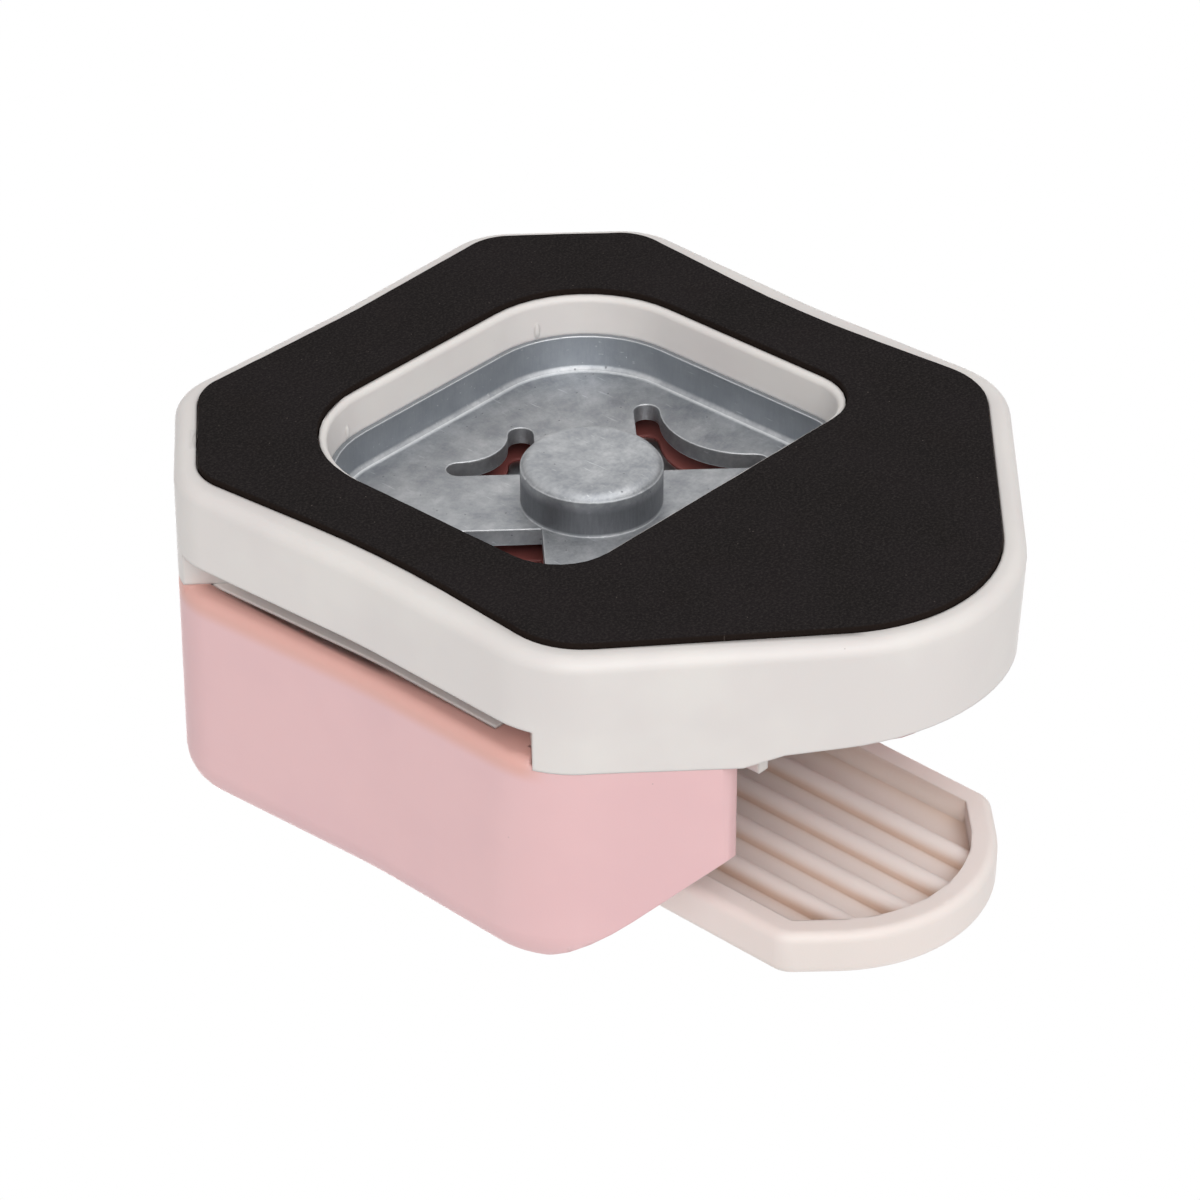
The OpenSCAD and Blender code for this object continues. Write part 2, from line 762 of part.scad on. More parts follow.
module casing() {
    color("#e5bebf")
        difference() {
            intersection() {
                casing_block();
                translate([-far / 2, 0, 0])
                    rotate([90, 0, 90])
                        linear_extrude(far)
                            polygon(casing_profile());
            }
            casing_room();
            // Seat on the nose of the base, beside the slots
            difference() {
                beyond_joint(0);
                paper_room(joint_z - over, crest_z + over);
            }
            // Mouth in front and channel for the lever above
            translate([-channel_w / 2, -far, joint_z - over])
                cube([channel_w, far + front_y, far]);
            translate([-channel_w / 2, front_y - over, channel_z])
                cube([channel_w, hinge_y + channel_back - front_y + over, far]);
            both_sides()
                translate([0, 0, joint_z - over])
                    linear_extrude(far)
                        cheek_end();
            // Bores of the hinge pin and pilot holes
            translate([-far / 2, hinge_y, hinge_z])
                rotate([0, 90, 0])
                    intersection() {
                        cylinder(r = hinge_pin_d / 2, h = far);
                        translate([0, 0, far / 2])
                            cube(channel_w + 4 * channel_wall, center = true);
                    }
            both_sides() {
                for (p = [rear_post, front_post])
                    rod(p[0], p[1], 0, joint_z + case_bite + over, case_screw_d / 2);
                for (p = [front_guide, rear_guide])
                    rod(p[0], p[1], 0, guide_top + guide_bite + over, small_screw_d / 2);
            }
        }
}

// Outline of the lever's plate, drawn in by d
function lever_outline(d = 0) =
    let (
        half = lever_w / 2,
        sharp_y = nose_y + lever_short - lever_tip_r * (1 / sin(lever_tip_angle) - 1),
        corner_y = sharp_y + half / tan(lever_tip_angle)
    )
    rounded(
        [[0, sharp_y], [half, corner_y], [half, lever_rear_y], [-half, lever_rear_y], [-half, corner_y]],
        [lever_tip_r, lever_corner_r, lever_rear_r, lever_rear_r, lever_corner_r], [28, 8, 4, 4, 8], d);

module lever() {
    inner = lever_w - 2 * rim_w;
    pitch = inner / (ribs + 1);
    plate = concat(
        [for (s = edge_steps(lever_edge)) [lever_outline(s[0]), s[1]]],
        [for (s = edge_back(lever_edge)) [lever_outline(s[0]), lever_t - s[1]]]);
    color("#e8ded8") {
        difference() {
            union() {
                // Plate with a hollow, ribbed underside, tilted about the hinge
                translate([0, hinge_y, lever_z])
                    rotate([-lever_rise, 0, 0])
                        translate([0, -hinge_y, 0]) {
                            difference() {
                                loft(plate);
                                difference() {
                                    prism(lever_outline(rim_w), -over, hollow_d);
                                    translate([-far / 2, hinge_y - barrel_d / 2 - rim_w, -over])
                                        cube([far, far, far]);
                                }
                            }
                            intersection() {
                                prism(lever_outline(rim_w - eps), 0, hollow_d + eps);
                                for (k = [1 : ribs])
                                    translate([-inner / 2 + k * pitch, 0, hollow_d + eps])
                                        rotate([90, 0, 0])
                                            rib_bar();
                            }
                        }
                // Barrel round the hinge pin, with the tail that stops the lever
                translate([-barrel_w / 2, hinge_y, hinge_z])
                    rotate([0, 90, 0])
                        cylinder(d = barrel_d, h = barrel_w);
                translate([-barrel_w / 2, hinge_y, channel_z + move_gap])
                    cube([barrel_w, tail, lever_z + lever_t / 2 - channel_z - move_gap]);
                // Nose that presses the punch
                translate([-press_w / 2, axis_y, press_z])
                    rotate([90, 0, 90])
                        linear_extrude(press_w)
                            polygon(bar_end(press_r, lever_z + lever_t / 2 - press_z));
            }
            translate([-far / 2, hinge_y, hinge_z])
                rotate([0, 90, 0])
                    cylinder(r = hinge_pin_d / 2 + run_gap, h = far);
        }
    }
}

// Section of a bar of half width r with a round lower end, up to a height
function bar_end(r, height) =
    concat([[r, height], [-r, height]], [for (a = [180 : 15 : 360]) [r * cos(a), r * sin(a)]]);

// Round-edged rib along the lever, hanging from the floor of its hollow
module rib_bar() {
    linear_extrude(far, center = true)
        translate([0, rib_w / 2 - rib_h])
            polygon(bar_end(rib_w / 2, rib_h));
}

module hinge_pin() {
    reach = channel_w / 2 + channel_wall + clip_t + seat_gap;
    color("#b4b6b8")
        translate([-reach, hinge_y, hinge_z])
            rotate([0, 90, 0])
                cylinder(d = hinge_pin_d, h = 2 * reach);
}

module hinge_clips() {
    color("#6c6e71")
        both_sides()
            translate([channel_w / 2 + channel_wall, hinge_y, hinge_z])
                rotate([0, 90, 0])
                    difference() {
                        cylinder(d = hinge_pin_d + 2 * clip_band, h = clip_t);
                        translate([0, 0, -over])
                            cylinder(d = hinge_pin_d, h = clip_t + 2 * over);
                    }
}

// Arm of the punch block along +X, out to a length and to a half width
module block_arm(length, half) {
    polygon(rounded([[0, -half], [length, -half], [length, half], [0, half]],
        [least_r, arm_r, arm_r, least_r], [1, 6, 6, 1]));
}

function arm_length(r) = tip_in + r / sqrt(2) + block_edge;
function arm_half(r) = (r + cutter_band) / sqrt(2) + block_edge;

module punch_block() {
    color("#9a9c9f")
        difference() {
            union() {
                translate([0, 0, block_z])
                    linear_extrude(block_t) {
                        for (slot = SLOTS)
                            at_slot(slot[0])
                                block_arm(arm_length(slot[1]), arm_half(slot[1]));
                        at_slot(90)
                            block_arm(guide_pin_rear + guide_pin_d, guide_pin_d);
                        at_slot(-90)
                            block_arm(guide_pin_front + guide_pin_d, guide_pin_d);
                    }
                rod(0, axis_y, block_z, tower_top, tower_d / 2);
            }
            rod(0, axis_y, block_z - over, spring_roof_z, cup_bore / 2);
            rod(0, axis_y, disc_z, tower_top + over, disc_d / 2 + run_gap);
            for (y = [axis_y - guide_pin_front, axis_y + guide_pin_rear])
                rod(0, y, 0, far, guide_pin_d / 2 + run_gap);
            for (slot = SLOTS)
                at_slot(slot[0])
                    rod(cutter_screw(slot[1]), 0, 0, far, small_screw_d / 2 + run_gap);
        }
}

// Cutter for one slot: a straight blade under the block
module cutter(slot) {
    x = cutter_screw(slot[1]);
    color("#b9bbbe")
        difference() {
            translate([0, 0, cutter_z])
                linear_extrude(block_z - cutter_z)
                    at_slot(slot[0])
                        cutter_plan(slot[1]);
            at_slot(slot[0])
                rod(x, 0, block_z - cutter_bite - seat_gap, block_z + over, small_screw_d / 2);
        }
}

module cutter_right() { cutter(SLOTS[0]); }
module cutter_rear() { cutter(SLOTS[1]); }
module cutter_left() { cutter(SLOTS[2]); }

module cutter_screws() {
    color("#8d8f92")
        for (slot = SLOTS)
            at_slot(slot[0])
                translate([cutter_screw(slot[1]), 0]) {
                    rod(0, 0, block_z - cutter_bite, block_top + eps, small_screw_d / 2);
                    rod(0, 0, block_top, block_top + screw_head_t, head_r(small_screw_d));
                }
}

module guide_pins() {
    color("#b4b6b8")
        for (y = [axis_y - guide_pin_front, axis_y + guide_pin_rear])
            rod(0, y, joint_z + seat_gap, block_top + guide_pin_over, guide_pin_d / 2);
}

module spring_washer() {
    color("#b4b6b8")
        difference() {
            rod(0, axis_y, cup_floor_z, cup_floor_z + washer_t, cup_bore / 2 - seat_gap);
            rod(0, axis_y, 0, far, cup_bore / 4);
        }
}

module press_disc() {
    color("#b4b6b8")
        rod(0, axis_y, disc_z, disc_z + disc_t, disc_d / 2);
}

// Path of the spring wire: the last turn at each end lies flat
spring_z0 = cup_floor_z + washer_t + wire_d / 2 + run_gap;
spring_z1 = spring_roof_z - wire_d / 2 - run_gap;
spring_rise = spring_z1 - spring_z0;
rings = coils * turn_steps;
flat_pitch = wire_d + coil_gap;
open_pitch = (spring_rise - 2 * flat_pitch) / (coils - 2);
function coil_rise(t) =
    t < 1 ? flat_pitch * t
    : t > coils - 1 ? spring_rise - flat_pitch * (coils - t)
    : flat_pitch + open_pitch * (t - 1);
function ring_out(k) = [cos(360 * k / turn_steps), sin(360 * k / turn_steps), 0];
coil_path = [
    for (k = [0 : rings])
        [0, axis_y, spring_z0 + coil_rise(k / turn_steps)] + coil_d / 2 * ring_out(k)
];

// Points round the wire at place k
function wire_ring(k) =
    let (
        ahead = unit(coil_path[min(k + 1, rings)] - coil_path[max(k - 1, 0)]),
        up = cross(ring_out(k), ahead)
    )
    [for (s = [0 : wire_sides - 1])
        let (a = 360 * s / wire_sides)
        coil_path[k] + wire_d / 2 * (cos(a) * ring_out(k) + sin(a) * up)];

module return_spring() {
    points = [for (k = [0 : rings]) each wire_ring(k)];
    sides = [
        for (k = [0 : rings - 1])
            for (s = [0 : wire_sides - 1])
                let (a = wire_sides * k + s, b = wire_sides * k + (s + 1) % wire_sides)
                each [[a, b, a + wire_sides], [b, b + wire_sides, a + wire_sides]]
    ];
    start = [for (s = [wire_sides - 1 : -1 : 0]) s];
    end = [for (s = [0 : wire_sides - 1]) wire_sides * rings + s];
    color("#8f9194")
        polyhedron(points, concat([start], sides, [end]));
}

// Least gap between turns of the spring, measured on the points of its path
spring_gap = min([
    for (k = [0 : rings - turn_steps])
        for (m = [k + turn_steps - 2 : min(k + turn_steps + 2, rings)])
            norm(coil_path[m] - coil_path[k])
]) - wire_d;
echo(spring_gap = spring_gap);

foam_pad();
base();
die();
die_screws();
guide_plate();
guide_screws();
casing();
case_screws();
lever();
hinge_pin();
hinge_clips();
punch_block();
cutter_rear();
cutter_left();
cutter_right();
cutter_screws();
guide_pins();
return_spring();
spring_washer();
press_disc();
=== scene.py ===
import math

import bmesh
import bpy
from mathutils import Matrix, Vector, noise

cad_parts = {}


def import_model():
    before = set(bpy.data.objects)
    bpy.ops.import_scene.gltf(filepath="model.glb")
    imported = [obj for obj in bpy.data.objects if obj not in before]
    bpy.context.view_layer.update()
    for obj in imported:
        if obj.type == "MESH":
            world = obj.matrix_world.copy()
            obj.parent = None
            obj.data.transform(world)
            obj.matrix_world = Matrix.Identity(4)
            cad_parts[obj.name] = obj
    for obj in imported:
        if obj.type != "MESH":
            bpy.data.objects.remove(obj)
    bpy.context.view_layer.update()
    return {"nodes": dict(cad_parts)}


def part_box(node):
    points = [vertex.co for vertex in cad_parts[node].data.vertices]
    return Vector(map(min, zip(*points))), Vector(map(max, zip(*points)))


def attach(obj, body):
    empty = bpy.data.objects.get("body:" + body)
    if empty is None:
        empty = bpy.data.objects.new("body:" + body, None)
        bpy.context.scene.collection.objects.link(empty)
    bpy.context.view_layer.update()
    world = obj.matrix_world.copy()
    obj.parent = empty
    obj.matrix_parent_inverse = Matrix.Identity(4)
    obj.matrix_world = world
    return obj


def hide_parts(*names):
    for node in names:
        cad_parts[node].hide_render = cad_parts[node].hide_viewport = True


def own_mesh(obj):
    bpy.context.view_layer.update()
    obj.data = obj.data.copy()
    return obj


# A three-way corner rounder, seen from below as it lies on its back: foam pad, white base, cast die,
# pink casing and ivory lever. Lengths are in metres, in the frame of the CAD model.
MM = 0.001

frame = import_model()

# Sizes of the CAD model that the finishes follow
AXIS_Y = 5 * MM
DIE_PLATE = 1.4 * MM
CUP_SPAN = (6.0 * MM, 6.5 * MM)

# Where the painted shade on the casing's edge over the slots ends, upwards and towards the nose
SLOT_LIP = (10.5 * MM, 11.7 * MM)
SLOT_FRONT = (-14 * MM, -11.5 * MM)
# Where the guide plate's pale border, painted light for the bright strip in the slots, starts, at the sides
# and at the rear
PLATE_SIDE = (22.5 * MM, 23.1 * MM)
PLATE_REAR = (28.2 * MM, 28.8 * MM)


class Wire:
    """A socket of a node tree. Arithmetic on it adds Math nodes to that tree."""

    def __init__(self, tree, socket=None):
        self.tree = tree
        self.socket = socket

    def node(self, kind, settings=None, inputs=None, out=0):
        """Adds a node, its settings first and then its inputs' values or links, and gives one output."""
        made = self.tree.nodes.new(kind)
        for name, value in (settings or {}).items():
            if name == "stops":
                ramp = made.color_ramp
                while len(ramp.elements) < len(value):
                    ramp.elements.new(1.0)
                for element, (place, shade) in zip(ramp.elements, value):
                    element.position = place
                    element.color = shade
            else:
                setattr(made, name, value)
        for key, value in (inputs or {}).items():
            if isinstance(value, Wire):
                self.tree.links.new(value.socket, made.inputs[key])
            else:
                made.inputs[key].default_value = value
        return Wire(self.tree, made.outputs[out] if len(made.outputs) else None)

    def out(self, key):
        """Another output of the same node."""
        return Wire(self.tree, self.socket.node.outputs[key])

    def math(self, operation, *values):
        return self.node("ShaderNodeMath", {"operation": operation}, dict(enumerate(values)))

    def __add__(self, other):
        return self.math("ADD", self, other)

    __radd__ = __add__

    def __sub__(self, other):
        return self.math("SUBTRACT", self, other)

    def __rsub__(self, other):
        return self.math("SUBTRACT", other, self)

    def __mul__(self, other):
        return self.math("MULTIPLY", self, other)

    __rmul__ = __mul__

    def __truediv__(self, other):
        return self.math("DIVIDE", self, other)

    def __abs__(self):
        return self.math("ABSOLUTE", self)

    def least(self, other):
        return self.math("MINIMUM", self, other)

    def most(self, other):
        return self.math("MAXIMUM", self, other)

    def over(self, low, high):
        """0 at low, 1 at high, smooth between them."""
        return self.node(
            "ShaderNodeMapRange",
            {"interpolation_type": "SMOOTHSTEP"},
            {"Value": self, "From Min": low, "From Max": high},
        )

    def between(self, low, high, soft):
        """1 from low to high, 0 outside, with soft ends."""
        return self.over(low - soft, low) * (1 - self.over(high, high + soft))

    def tint(self, first, second):
        """Colour that goes from first to second as this value goes from 0 to 1."""
        return self.node("ShaderNodeMix", {"data_type": "RGBA"}, {0: self, 6: first, 7: second}, out=2)

    def ramp(self, *stops):
        """Colour from a row of (place, colour) stops."""
        return self.node("ShaderNodeValToRGB", {"stops": stops}, {"Fac": self})


def colour(red, green, blue):
    """Linear colour of an sRGB colour in 0 to 255."""
    shares = (red / 255, green / 255, blue / 255)
    return tuple(c / 12.92 if c <= 0.04045 else ((c + 0.055) / 1.055) ** 2.4 for c in shares) + (1.0,)


class Finish:
    """A material in the making: its tree, its place on the piece and its Principled shader."""

    def __init__(self, name):
        self.material = bpy.data.materials.new(name)
        self.material.use_nodes = True
        self.tree = self.material.node_tree
        self.shader = self.tree.nodes["Principled BSDF"]
        self.start = Wire(self.tree)
        self.place = self.start.node("ShaderNodeTexCoord", out="Object")

    def axes(self):
        """The piece's own x, y and z."""
        x = self.start.node("ShaderNodeSeparateXYZ", inputs={0: self.place})
        return x, x.out("Y"), x.out("Z")

    def stretched(self, x, y, z):
        """The piece's coordinates, drawn out along each axis by these factors."""
        return self.start.node(
            "ShaderNodeVectorMath", {"operation": "MULTIPLY"}, {0: self.place, 1: (1 / x, 1 / y, 1 / z)}
        )

    def noise(self, size, detail=2.0, roughness=0.5, place=None):
        """Noise with features of about this size."""
        return self.start.node(
            "ShaderNodeTexNoise",
            inputs={
                "Vector": place or self.place,
                "Scale": 1 / size,
                "Detail": detail,
                "Roughness": roughness,
            },
        )

    def cells(self, size, place=None):
        """Distance to the middle of the nearest cell, for cells of about this size."""
        return self.start.node(
            "ShaderNodeTexVoronoi", inputs={"Vector": place or self.place, "Scale": 1 / size}
        )

    def specks(self, size, radius, share, place=None):
        """Spots of a radius, as a part of the size of their cells, in this share of the cells."""
        cells = self.cells(size, place)
        chosen = self.start.node("ShaderNodeSeparateColor", inputs={0: cells.out("Color")})
        return (1 - cells.over(radius * 0.5, radius)) * (1 - chosen.over(share, share + 0.01))

    def hollow(self, reach):
        """0 in the open, towards 1 in the hollows of the piece itself."""
        light = self.start.node(
            "ShaderNodeAmbientOcclusion", {"samples": 8, "only_local": True}, {"Distance": reach}, "AO"
        )
        return 1 - light

    def rounded(self, radius):
        """Normal of the piece with its edges rounded."""
        return self.start.node("ShaderNodeBevel", {"samples": 6}, {"Radius": radius})

    def worn(self, soft):
        """1 along the edges, where the rounded normal leaves the piece's own."""
        own = self.start.node("ShaderNodeNewGeometry", out="Normal")
        same = self.start.node(
            "ShaderNodeVectorMath", {"operation": "DOT_PRODUCT"}, {0: soft, 1: own}, "Value"
        )
        return 1 - same.over(0.8, 0.98)

    def bump(self, height, depth, under=None):
        """Normal of a relief of this depth."""
        inputs = {"Height": height, "Strength": 1.0, "Distance": depth}
        if under:
            inputs["Normal"] = under
        return self.start.node("ShaderNodeBump", inputs=inputs)

    def feed(self, **sockets):
        """Sets or links the shader's sockets, written with underscores for spaces."""
        for key, value in sockets.items():
            socket = self.shader.inputs[key.replace("_", " ")]
            if isinstance(value, Wire):
                self.tree.links.new(value.socket, socket)
            else:
                socket.default_value = value
        return self.material


def moulded_plastic(name, main, shade, painted_hollow_shade, rough, reach=2.6 * MM, painted_lip_shade=None, painted_slot_light=None):
    """Satin moulding: drifting colour, fine grain and faint handling marks, with painted warm shade in its
    hollows.
    """
    f = Finish(name)
    drift = f.noise(11 * MM, 3).over(0.36, 0.64)
    grain = f.noise(0.16 * MM, 3, 0.6)
    ripple = f.noise(2.2 * MM, 2)
    marks = f.noise(1.6 * MM, 4, 0.65, f.stretched(1, 3.2, 1)).over(0.66, 0.78)
    skin = drift.tint(main, shade)
    skin = (marks * 0.4).tint(skin, shade)
    skin = (f.specks(2.4 * MM, 0.03, 0.5) * 0.4).tint(skin, colour(128, 110, 104))
    # Painted shade: where the piece shades itself, its colour turns towards a warmer, darker tone
    skin = f.hollow(reach).over(0.12, 0.8).tint(skin, painted_hollow_shade)
    # Painted shade: a warm, darker band on the casing's edge over the slots, where the base shades it
    if painted_lip_shade:
        _, y, z = f.axes()
        lip_shade_band = (1 - z.over(*SLOT_LIP)) * y.over(*SLOT_FRONT)
        skin = lip_shade_band.tint(skin, painted_lip_shade)
    # Painted light: the guide plate's border turns pale, for the bright strip of light seen through the
    # slots
    if painted_slot_light:
        x, y, _ = f.axes()
        slot_light_border = abs(x).over(*PLATE_SIDE).most(y.over(*PLATE_REAR))
        skin = slot_light_border.tint(skin, painted_slot_light)
    relief = f.bump(ripple, 0.012 * MM, f.rounded(0.3 * MM))
    return f.feed(
        Base_Color=skin,
        Roughness=rough + grain * 0.1 + marks * 0.12 - drift * 0.04,
        Normal=f.bump(grain, 0.006 * MM, relief),
        IOR=1.47,
        Subsurface_Weight=0.08,
        Subsurface_Radius=(1.0, 0.62, 0.5),
        Subsurface_Scale=0.8 * MM,
    )


def foam_sheet():
    """Dull black closed-cell foam: fine pores, a faint grain, brownish cut edges and specks of lint."""
    f = Finish("black_foam")
    _, _, z = f.axes()
    pore = 0.2 * MM
    pores = f.cells(pore)
    grain = f.noise(pore, 3, 0.7)
    patch = f.noise(8 * MM, 3).over(0.35, 0.65)
    flat = f.stretched(1, 1, 1000)
    lint = f.specks(0.7 * MM, 0.09, 0.16, flat)
    skin = patch.tint(colour(24, 21, 21), colour(28, 24, 25))
    skin = grain.over(0.4, 0.72).tint(skin, colour(48, 44, 43))
    skin = z.between(0.12 * MM, 2 * MM, 0.1 * MM).tint(skin, colour(32, 25, 22))
    skin = (lint * 0.5).tint(skin, colour(124, 114, 108))
    relief = f.bump(pores, 0.03 * MM)
    return f.feed(
        Base_Color=skin,
        Roughness=0.84 + grain * 0.12,
        Normal=f.bump(grain, 0.04 * MM, relief),
        IOR=1.35,
        Specular_IOR_Level=0.12,
    )


def cast_zinc():
    """Die-cast zinc: a mottled skin, pits, scratches and bright worn edges; smoother walls with a painted
    bluish reflection, a painted dark reflection on the cup's side and a painted highlight line at the
    skirt's foot.
    """
    f = Finish("cast_zinc")
    x, y, z = f.axes()
    floor_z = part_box("die")[1].z - DIE_PLATE
    away = (x * x + (y - AXIS_Y) * (y - AXIS_Y)).over(CUP_SPAN[0] ** 2, CUP_SPAN[1] ** 2)
    # The skirt's walls: a smoother skin, with a darker, bluish tint that paints their reflection
    wall = (1 - z.over(floor_z - 0.5 * MM, floor_z - 0.25 * MM)) * away
    # Painted highlight: a thin bright line along the foot of the skirt
    ridge = z.between(floor_z - 0.09 * MM, floor_z - 0.03 * MM, 0.03 * MM) * away
    # Painted reflection: the cup's side turns darker, for the dark foam it reflects
    painted_dark_cup_side = (1 - away) * z.over(floor_z - 2.9 * MM, floor_z - 1.9 * MM)
    painted_dark_cup_side = painted_dark_cup_side * (1 - z.over(floor_z - 0.3 * MM, floor_z - 0.1 * MM))
    cloud = f.noise(2.6 * MM, 5, 0.62)
    sand = f.noise(0.32 * MM, 4, 0.7)
    swirl = f.noise(0.9 * MM, 4, 0.62, f.stretched(2.2, 1, 1)).over(0.42, 0.72)
    streak = f.noise(0.2 * MM, 3, 0.6, f.stretched(1, 1, 8))
    pits = f.specks(0.8 * MM, 0.13, 0.35) * (1 - painted_dark_cup_side)
    scratch = f.noise(0.3 * MM, 2, 0.5, f.stretched(1, 9, 1)).over(0.68, 0.74) * (1 - painted_dark_cup_side)
    soft = f.rounded(0.2 * MM)
    # Bright worn edges, joined by the painted highlight line at the skirt's foot
    edge = (f.worn(soft) * (0.25 + away * 0.75)).most(ridge)
    dark, mid, pale = colour(142, 145, 150), colour(170, 172, 175), colour(196, 197, 199)
    skin = (cloud * 0.7 + sand * 0.3).ramp((0.32, dark), (0.5, mid), (0.68, pale))
    skin = (swirl * 0.3).tint(skin, colour(150, 152, 156))
    wall_skin_and_reflection = (streak * 0.6 + cloud * 0.4).tint(colour(138, 144, 151), colour(166, 171, 177))
    cup_painted_reflection = (streak * 0.7 + sand * 0.3).tint(colour(100, 102, 106), colour(138, 140, 144))
    skin = (wall * 0.8).tint(skin, wall_skin_and_reflection)
    skin = (painted_dark_cup_side * 0.95).tint(skin, cup_painted_reflection)
    skin = (pits * (1 - wall) * 0.55).tint(skin, colour(96, 98, 102))
    skin = (scratch * 0.45).tint(skin, colour(214, 216, 218))
    skin = (edge * (0.45 + sand * 0.6)).tint(skin, colour(226, 227, 228))
    relief = f.bump(cloud + sand * 0.6 * (1 - wall), 0.03 * MM, soft)
    return f.feed(
        Base_Color=skin,
        Metallic=0.9,
        Roughness=0.44 + sand * 0.16 - wall * 0.1 - scratch * 0.12 - edge * 0.1,
        Normal=f.bump(sand + streak * 0.5 - pits * 2, 0.014 * MM, relief),
    )


def ground_metal(name, pale, dark, rough, lay):
    """Ground or drawn steel, its fine lines running along one axis."""
    f = Finish(name)
    lines = f.noise(0.05 * MM, 3, 0.6, f.stretched(*lay))
    cloud = f.noise(2.0 * MM, 3).over(0.35, 0.65)
    skin = (lines * 0.6 + cloud * 0.4).tint(dark, pale)
    return f.feed(
        Base_Color=skin,
        Metallic=1.0,
        Roughness=rough + lines * 0.15 + cloud * 0.06,
        Normal=f.bump(lines, 0.003 * MM),
    )


WHITE = moulded_plastic(
    "white_plastic", colour(226, 221, 217), colour(221, 215, 212), colour(214, 200, 190), 0.42
)
PINK = moulded_plastic(
    "pink_plastic",
    colour(232, 191, 192),
    colour(228, 187, 189),
    colour(218, 160, 150),
    0.44,
    painted_lip_shade=colour(226, 174, 164),
)
# The guide plate's rose is darker than the casing's pink; the darkening paints part of the shade in the
# cavity behind the die's holes
ROSE = moulded_plastic(
    "rose_plastic",
    colour(152, 86, 80),
    colour(142, 78, 74),
    colour(118, 58, 52),
    0.46,
    painted_slot_light=colour(246, 238, 234),
)
IVORY = moulded_plastic(
    "ivory_plastic",
    colour(236, 226, 221),
    colour(232, 221, 215),
    colour(212, 184, 164),
    0.46,
    reach=5 * MM,
)
FOAM = foam_sheet()
ZINC = cast_zinc()
CUTTER_STEEL = ground_metal("cutter_steel", colour(205, 206, 208), colour(168, 170, 174), 0.22, (1, 1, 12))
GROUND_STEEL = ground_metal("ground_steel", colour(214, 215, 216), colour(180, 181, 184), 0.18, (12, 1, 1))
SCREW_STEEL = ground_metal("screw_steel", colour(190, 191, 188), colour(150, 151, 150), 0.3, (1, 1, 4))
SPRING_STEEL = ground_metal("spring_steel", colour(172, 173, 175), colour(128, 129, 132), 0.28, (1, 1, 1))


def put(name, data):
    """A new object in the scene."""
    made = bpy.data.objects.new(name, data)
    bpy.context.scene.collection.objects.link(made)
    return made


def smooth(mesh, degrees):
    """Smooth shading, with the edges over this angle kept sharp."""
    for face in mesh.polygons:
        face.use_smooth = True
    mesh.set_sharp_from_angle(angle=math.radians(degrees))


def add_piece(name, mesh, material, body, slot, *nodes):
    """A finished piece at the origin that rides on a body and stands for CAD nodes."""
    piece = put(name, mesh)
    mesh.materials.clear()
    mesh.materials.append(material)
    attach(piece, body)
    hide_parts(*nodes)
    return piece


def plain_mesh(piece):
    """The mesh of a piece with its modifiers applied; the piece itself is removed."""
    seen = piece.evaluated_get(bpy.context.evaluated_depsgraph_get())
    mesh = bpy.data.meshes.new_from_object(seen)
    mesh.name = piece.name
    bpy.data.objects.remove(piece)
    return mesh


def merged_copy(node):
    """A CAD node's mesh with its loose triangles joined and its flat faces made whole."""
    near, flat = 0.5e-6, math.radians(0.6)
    bm = bmesh.new()
    bm.from_mesh(frame["nodes"][node].data)
    bmesh.ops.remove_doubles(bm, verts=bm.verts, dist=near)
    bmesh.ops.dissolve_degenerate(bm, edges=bm.edges, dist=near)
    bmesh.ops.dissolve_limit(bm, angle_limit=flat, verts=bm.verts, edges=bm.edges)
    return bm


def moulding(name, node, material, body, slot, details=None):
    """A CAD node as one smooth-shaded piece with crisp edges, which its finish rounds."""
    bm = merged_copy(node)
    if details:
        details(bm)
    mesh = bpy.data.meshes.new(name)
    bm.to_mesh(mesh)
    bm.free()
    smooth(mesh, 32)
    raw = put(name, mesh)
    flat = raw.modifiers.new("faces", "WEIGHTED_NORMAL")
    flat.weight = 80
    flat.keep_sharp = True
    add_piece(name, plain_mesh(raw), material, body, slot, node)


def centring_ribs(bm):
    """Two small drop-shaped ribs on the wall of the window, which centre the die."""
    slim, tall = 0.22 * MM, 0.62 * MM
    for spot in ((-11.3, 20.95, 2.95), (9.65, 21.45, 3.1)):
        shape = Matrix.Translation(Vector(spot) * MM) @ Matrix.Diagonal((slim, slim, tall, 1.0))
        bmesh.ops.create_uvsphere(bm, u_segments=12, v_segments=10, radius=1.0, matrix=shape)


def whole_rim(bm):
    """Fills the rim beside the pad where the two rear screw holes would break through it."""
    inner, thick, half = 33.32 * MM, 0.4 * MM, 1.3 * MM
    beside, low, high = -3.54 * MM, 0.52 * MM, 3 * MM
    for side in (-1, 1):
        out = Vector((side, 1, 0)).normalized()
        along = Vector((side, -1, 0)).normalized()
        middle = out * (inner + thick / 2) + along * beside + Vector((0, 0, (low + high) / 2))
        shape = Matrix((along * 2 * half, out * thick, Vector((0, 0, high - low)))).transposed().to_4x4()
        bmesh.ops.create_cube(bm, size=1.0, matrix=Matrix.Translation(middle) @ shape)


def base_details(bm):
    """What the finished base has beyond the CAD's."""
    centring_ribs(bm)
    whole_rim(bm)


moulding("base_shell", "base", WHITE, "body", "white_plastic", base_details)
moulding("casing_shell", "casing", PINK, "body", "pink_plastic")
moulding("lever_plate", "lever", IVORY, "lever", "ivory_plastic")
moulding("die_casting", "die", ZINC, "body", "cast_zinc")
moulding("block_casting", "punch_block", ZINC, "punch", "cast_zinc")
moulding("plate_moulding", "guide_plate", ROSE, "body", "rose_plastic")


